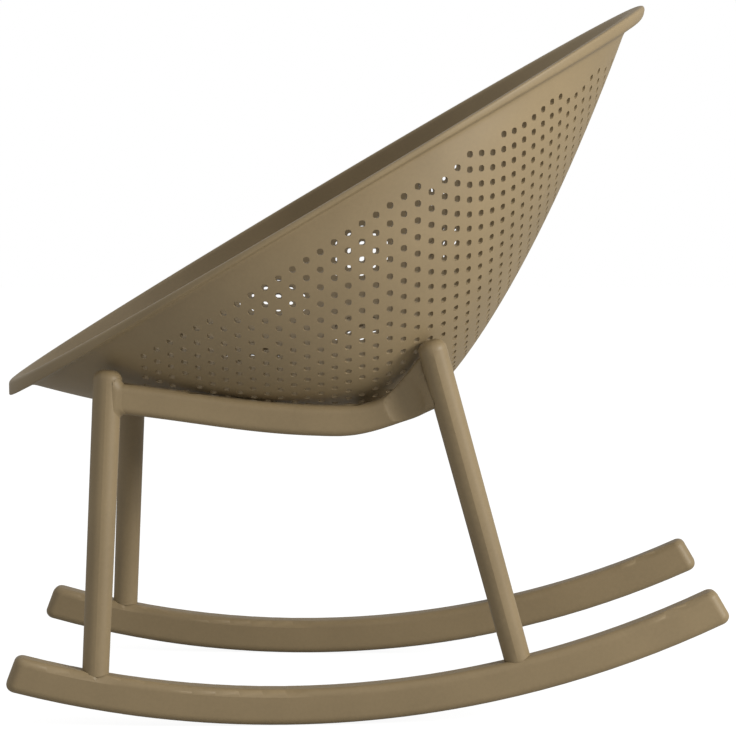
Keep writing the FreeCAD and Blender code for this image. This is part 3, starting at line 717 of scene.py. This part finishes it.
def tube(name, rings, material, sharp=math.radians(40)):
    """A closed skin over rings of equally many points, with flat ends."""
    count = len(rings[0])
    points = [point for ring in rings for point in ring]
    faces = []
    for r in range(len(rings) - 1):
        for n in range(count):
            m = (n + 1) % count
            faces.append((r * count + n, r * count + m, (r + 1) * count + m, (r + 1) * count + n))
    faces.append(tuple(reversed(range(count))))
    faces.append(tuple((len(rings) - 1) * count + n for n in range(count)))
    piece = piece_from(name, points, faces, material, sharp)
    outwards(piece)
    return piece


def outwards(piece):
    """Turns all faces to the outside."""
    form = bmesh.new()
    form.from_mesh(piece.data)
    bmesh.ops.recalc_face_normals(form, faces=form.faces)
    form.to_mesh(piece.data)
    form.free()


def fillet_sleeve(name, foot, top, centre_height, heading, leg_radius, fillet, section,
                  material):
    """A concave collar round a rail's end that runs tangent into a round, leaning leg."""
    heading = heading.normalized()
    side = Vector((heading.y, -heading.x, 0)).normalized()
    flat = math.hypot(heading.x, heading.y)
    centre = along_leg(foot, top, centre_height)
    widest = leg_radius - 0.0011    # just inside the leg's outline
    width, height, radius = section
    steps = 8
    rings = []
    for n in range(steps + 2):
        if n == 0:
            out, grow = fillet * 1.3, -0.0008    # sunk into the rail
        else:
            turn = math.pi / 2 * (n - 1) / steps
            out = fillet * (1 - math.sin(turn))
            grow = fillet * (1 - math.cos(turn)) - 0.0002
        ring = []
        for u, v in rounded_outline(width + 2 * grow, height + 2 * grow, radius + grow):
            axis = along_leg(foot, top, centre_height + v) - Vector((0, 0, v))
            stand = math.sqrt(leg_radius ** 2 - min(abs(u), widest) ** 2) - 0.0004
            travelled = (stand + out) / flat + (axis - centre).dot(heading)
            u = max(-widest, min(widest, u))
            place = centre + heading * travelled + side * u
            ring.append(place + Vector((0, 0, v)))
        rings.append(ring)
    return tube(name, rings, material)


def mirrored_piece(piece, name, material):
    """The right-hand copy of a left-hand piece, its faces turned back outwards."""
    points = [Vector((-v.co.x, v.co.y, v.co.z)) for v in piece.data.vertices]
    faces = [tuple(reversed(face.vertices)) for face in piece.data.polygons]
    return piece_from(name, points, faces, material, math.radians(40))


class CHAIR_OT_rail_fillets(bpy.types.Operator):
    """Builds the moulded fillets between the side rails and the front legs"""
    bl_idname = "chair.rail_fillets"
    bl_label = "Rail fillets"

    def execute(self, context):
        s = context.scene.chair_frame
        plastic = finishes()["glass_filled_polypropylene_frame"]
        # The heading is the rail's own direction where it leaves the front leg
        left = fillet_sleeve("front_rail_fillet_left", Vector(s.front_foot),
                             Vector(s.front_top), s.rail_front_height,
                             Vector((-0.0085, 0.089, -0.0135)), s.leg_radius,
                             s.front_fillet, (s.rail_width, s.rail_height, s.rail_corner),
                             plastic)
        right = mirrored_piece(left, "front_rail_fillet_right", plastic)
        for piece in (left, right):
            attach(piece, BODY)
        return {"FINISHED"}


class CHAIR_OT_scooped_rails(bpy.types.Operator):
    """Hollows the outer face of the side rails where they flare up the rear legs"""
    bl_idname = "chair.scooped_rails"
    bl_label = "Scooped rails"

    def execute(self, context):
        s = context.scene.chair_frame
        plastic = finishes()["glass_filled_polypropylene_frame"]
        for mark, mirror in (("left", 1), ("right", -1)):
            name = "side_rail_" + mark
            rail = self.copy_of(name, "scooped_rail_" + mark, plastic)
            carve(rail, self.scoop(s, mirror, plastic))
            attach(rail, BODY)
            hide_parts(name)
        return {"FINISHED"}

    def copy_of(self, solid, name, material):
        """The solid's own skin, welded, as a piece that can be carved."""
        source = frame["nodes"][solid]
        form = bmesh.new()
        form.from_mesh(source.data)
        form.transform(source.matrix_world)
        bmesh.ops.remove_doubles(form, verts=form.verts, dist=0.000002)
        mesh = bpy.data.meshes.new(name)
        form.to_mesh(mesh)
        form.free()
        mesh.materials.clear()
        mesh.materials.append(material)
        piece = bpy.data.objects.new(name, mesh)
        bpy.context.scene.collection.objects.link(piece)
        return piece

    def scoop(self, s, mirror, material):
        """An egg that leans with the rear leg, just outside the flare."""
        foot = Vector(s.rear_foot)
        top = Vector(s.rear_top)
        lean = (top - foot) / (top.z - foot.z)
        middle = Vector(s.scoop_middle)
        size = Vector(s.scoop_size)
        turns, rows = 64, 40
        points = []
        for r in range(1, rows):
            up = math.cos(math.pi * r / rows)
            out = math.sin(math.pi * r / rows)
            for n in range(turns):
                turn = 2 * math.pi * n / turns
                z = size.z * up
                points.append(Vector((middle.x + size.x * out * math.cos(turn) + lean.x * z,
                                      middle.y + size.y * out * math.sin(turn) + lean.y * z,
                                      middle.z + z)))
        faces = []
        for r in range(rows - 2):
            for n in range(turns):
                m = (n + 1) % turns
                faces.append((r * turns + n, (r + 1) * turns + n,
                              (r + 1) * turns + m, r * turns + m))
        faces.append(tuple(range(turns)))
        faces.append(tuple((rows - 2) * turns + n for n in reversed(range(turns))))
        points = [Vector((p.x * mirror, p.y, p.z)) for p in points]
        cutter = piece_from("scoop", points, faces, material)
        outwards(cutter)
        return cutter


class CHAIR_OT_leg_caps(bpy.types.Operator):
    """Builds the small domed caps on the front legs' inner sides"""
    bl_idname = "chair.leg_caps"
    bl_label = "Leg caps"

    def execute(self, context):
        s = context.scene.chair_frame
        plastic = finishes()["glass_filled_polypropylene_frame"]
        centre = along_leg(Vector(s.front_foot), Vector(s.front_top), s.cap_height)
        inwards = Vector((-0.94, 0.34, 0)).normalized()    # and a little to the back
        up = Vector((0, 0, 1))
        side = up.cross(inwards)
        rings = []
        for stand, share in CAP_RINGS:
            ring = []
            for n in range(CAP_SIDES):
                turn = 2 * math.pi * n / CAP_SIDES
                ring.append(centre + inwards * (s.leg_radius + stand)
                            + (side * math.cos(turn) + up * math.sin(turn)) * s.cap_radius * share)
            rings.append(ring)
        left = tube("leg_cap_left", rings, plastic)
        right = mirrored_piece(left, "leg_cap_right", plastic)
        for piece in (left, right):
            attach(piece, BODY)
        return {"FINISHED"}


class CHAIR_OT_cross_bars(bpy.types.Operator):
    """Builds the curved, channelled bars that carry the bucket between the rails"""
    bl_idname = "chair.cross_bars"
    bl_label = "Cross bars"

    def execute(self, context):
        plastic = finishes()["glass_filled_polypropylene_frame"]
        for name in ("front_cross_bar", "rear_cross_bar"):
            bar = self.bar(name + "_band", name, context.scene.chair_frame, plastic)
            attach(bar, BODY)
            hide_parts(name)
        return {"FINISHED"}

    def bar(self, name, solid, s, material):
        """A band on the solid bar's arc: its top face stays, its underside is thinner."""
        low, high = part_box(solid)
        reach = high.x - BAR_INSET
        end = high.z - SOLID_BAR / 2
        belly = low.z + SOLID_BAR / 2
        drop = end - belly
        radius = (reach ** 2 + drop ** 2) / (2 * drop)
        middle = (low.y + high.y) / 2
        width = high.y - low.y
        rings = []
        steps = 48
        for n in range(steps + 1):
            x = -reach + 2 * reach * n / steps
            arc = belly + radius - math.sqrt(radius ** 2 - x ** 2)
            inner = max(0.0, 1 - (abs(x) / reach) ** 6)
            thick = SOLID_BAR + (s.bar_thickness - SOLID_BAR) * inner
            top = arc + SOLID_BAR / 2
            outline = []
            for u, v in rounded_outline(width, thick, BAR_CORNER):
                groove = (GROOVE_DEPTH * inner
                          * max(0.0, 1 - (u / (width * GROOVE_SHARE)) ** 4))
                outline.append(Vector((x, middle + u,
                                       top - thick / 2 + v + (groove if v < 0 else 0))))
            rings.append(outline)
        return tube(name, rings, material)


class CHAIR_OT_finishes(bpy.types.Operator):
    """Gives the kept solids their materials"""
    bl_idname = "chair.finishes"
    bl_label = "Finishes"

    def execute(self, context):
        made = finishes()
        by_slot = {
            "frame_plastic": "glass_filled_polypropylene_frame",
            "leg_plastic": "glass_filled_polypropylene_frame",
            "rocker_plastic": "glass_filled_polypropylene_frame",
            "seat_shell": "polypropylene_bucket",
            "tread_rubber": "ribbed_rubber_tread",
            "screw_steel": "zinc_plated_steel",
            "insert_brass": "turned_brass",
        }
        slots = {p["node"]: p["material_slot"] for p in frame["record"]["subparts"]}
        for name, solid in frame["nodes"].items():
            for slot in solid.material_slots:
                slot.material = made[by_slot[slots[name]]]
        return {"FINISHED"}


# Stage

LIGHTS_AIM = (0, 0, 0.4)
KEY_PLACE = (2.0, 3.3, 1.75)    # behind the chair, to its left and above it
KEY_SIZE = 1.3
KEY_COLOUR = (1, 0.985, 0.95)
TOP_PLACE = (0.3, -0.2, 3.2)
TOP_SIZE = 1.8
FLOOR_GLOW = 1.16               # keeps the floor white at the horizon
FLOOR_GLOW_SHARE = 0.8          # the rest is lit, and carries the chair's shadow


def area_light(name, place, aim, size, power, colour=(1, 1, 1)):
    """A square lamp that points at a place."""
    data = bpy.data.lights.new(name, "AREA")
    data.shape = "SQUARE"
    data.size = size
    data.energy = power
    data.color = colour
    lamp = bpy.data.objects.new(name, data)
    lamp.location = place
    lamp.rotation_euler = (Vector(aim) - Vector(place)).to_track_quat("-Z", "Y").to_euler()
    bpy.context.scene.collection.objects.link(lamp)
    return lamp


class CHAIR_OT_stage(bpy.types.Operator):
    """Sets up the floor, the lights, the white surroundings and the camera"""
    bl_idname = "chair.stage"
    bl_label = "Stage"

    def execute(self, context):
        scene = context.scene
        s = scene.chair_stage
        self.floor(s)
        self.surroundings(s)
        area_light("key", KEY_PLACE, LIGHTS_AIM, KEY_SIZE, s.key_power, KEY_COLOUR)
        area_light("top", TOP_PLACE, LIGHTS_AIM, TOP_SIZE, s.top_power)
        data = bpy.data.cameras.new("camera")
        data.lens = s.lens
        data.sensor_width = 36.0
        data.clip_end = 100
        camera = bpy.data.objects.new("camera", data)
        camera.location = s.camera_place
        camera.rotation_euler = s.camera_turn
        scene.collection.objects.link(camera)
        scene.camera = camera
        scene.view_settings.view_transform = "Standard"
        scene.view_settings.look = "None"
        return {"FINISHED"}

    def floor(self, s):
        """A white floor for the camera that lights the chair less than it shows."""
        half = s.floor_size / 2
        material, tree = new_material("white_studio_floor")
        path = node(tree, "ShaderNodeLightPath")
        glow = node(tree, "ShaderNodeEmission", Color=(1, 1, 1, 1), Strength=FLOOR_GLOW)
        lit = node(tree, "ShaderNodeBsdfDiffuse", Color=(0.9, 0.9, 0.9, 1))
        seen = node(tree, "ShaderNodeMixShader", {1: lit.outputs[0], 2: glow.outputs[0]})
        seen.inputs[0].default_value = FLOOR_GLOW_SHARE
        dim = node(tree, "ShaderNodeBsdfDiffuse", Color=(0.5, 0.5, 0.5, 1))
        both = node(tree, "ShaderNodeMixShader",
                    {0: path.outputs["Is Camera Ray"], 1: dim.outputs[0], 2: seen.outputs[0]})
        node(tree, "ShaderNodeOutputMaterial", {"Surface": both.outputs[0]})
        floor = piece_from("studio_floor", [(-half, -half, 0), (half, -half, 0),
                                            (half, half, 0), (-half, half, 0)],
                           [(0, 1, 2, 3)], material)

    def surroundings(self, s):
        """White behind the chair for the camera, soft and dimmer for the light."""
        world = bpy.data.worlds.new("white_studio")
        world.use_nodes = True
        tree = world.node_tree
        tree.nodes.clear()
        path = node(tree, "ShaderNodeLightPath")
        white = node(tree, "ShaderNodeBackground", Color=(1, 1, 1, 1), Strength=1.0)
        ambient = node(tree, "ShaderNodeBackground", Color=(1, 1, 1, 1), Strength=s.ambient)
        both = node(tree, "ShaderNodeMixShader",
                    {0: path.outputs["Is Camera Ray"], 1: ambient.outputs[0],
                     2: white.outputs[0]})
        node(tree, "ShaderNodeOutputWorld", {"Surface": both.outputs[0]})
        bpy.context.scene.world = world


class CHAIR_PT_panel(bpy.types.Panel):
    """Sizes, colours and the build steps"""
    bl_label = "Rocking chair"
    bl_idname = "CHAIR_PT_panel"
    bl_space_type = "VIEW_3D"
    bl_region_type = "UI"
    bl_category = "Rocking chair"

    def draw(self, context):
        layout = self.layout
        for step in STEPS:
            layout.operator(step.bl_idname)
        for group in ("chair_shell", "chair_frame", "chair_finish", "chair_stage"):
            box = layout.box()
            settings = getattr(context.scene, group)
            for name in settings.bl_rna.properties.keys():
                if name not in ("rna_type", "name"):
                    box.prop(settings, name)


STEPS = (CHAIR_OT_finishes, CHAIR_OT_bucket_shell, CHAIR_OT_scooped_rails,
         CHAIR_OT_rail_fillets, CHAIR_OT_cross_bars, CHAIR_OT_leg_caps, CHAIR_OT_stage)
CLASSES = ((ShellSettings, FrameSettings, FinishSettings, StageSettings) + STEPS
           + (CHAIR_PT_panel,))


def register():
    for made in CLASSES:
        bpy.utils.register_class(made)
    bpy.types.Scene.chair_shell = PointerProperty(type=ShellSettings)
    bpy.types.Scene.chair_frame = PointerProperty(type=FrameSettings)
    bpy.types.Scene.chair_finish = PointerProperty(type=FinishSettings)
    bpy.types.Scene.chair_stage = PointerProperty(type=StageSettings)


def unregister():
    del bpy.types.Scene.chair_shell
    del bpy.types.Scene.chair_frame
    del bpy.types.Scene.chair_finish
    del bpy.types.Scene.chair_stage
    for made in reversed(CLASSES):
        bpy.utils.unregister_class(made)


def main():
    register()
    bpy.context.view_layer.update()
    bpy.ops.chair.finishes()
    bpy.ops.chair.bucket_shell()
    bpy.ops.chair.scooped_rails()
    bpy.ops.chair.rail_fillets()
    bpy.ops.chair.cross_bars()
    bpy.ops.chair.leg_caps()
    bpy.ops.chair.stage()
    bpy.context.view_layer.update()


if __name__ == "__main__":
    main()
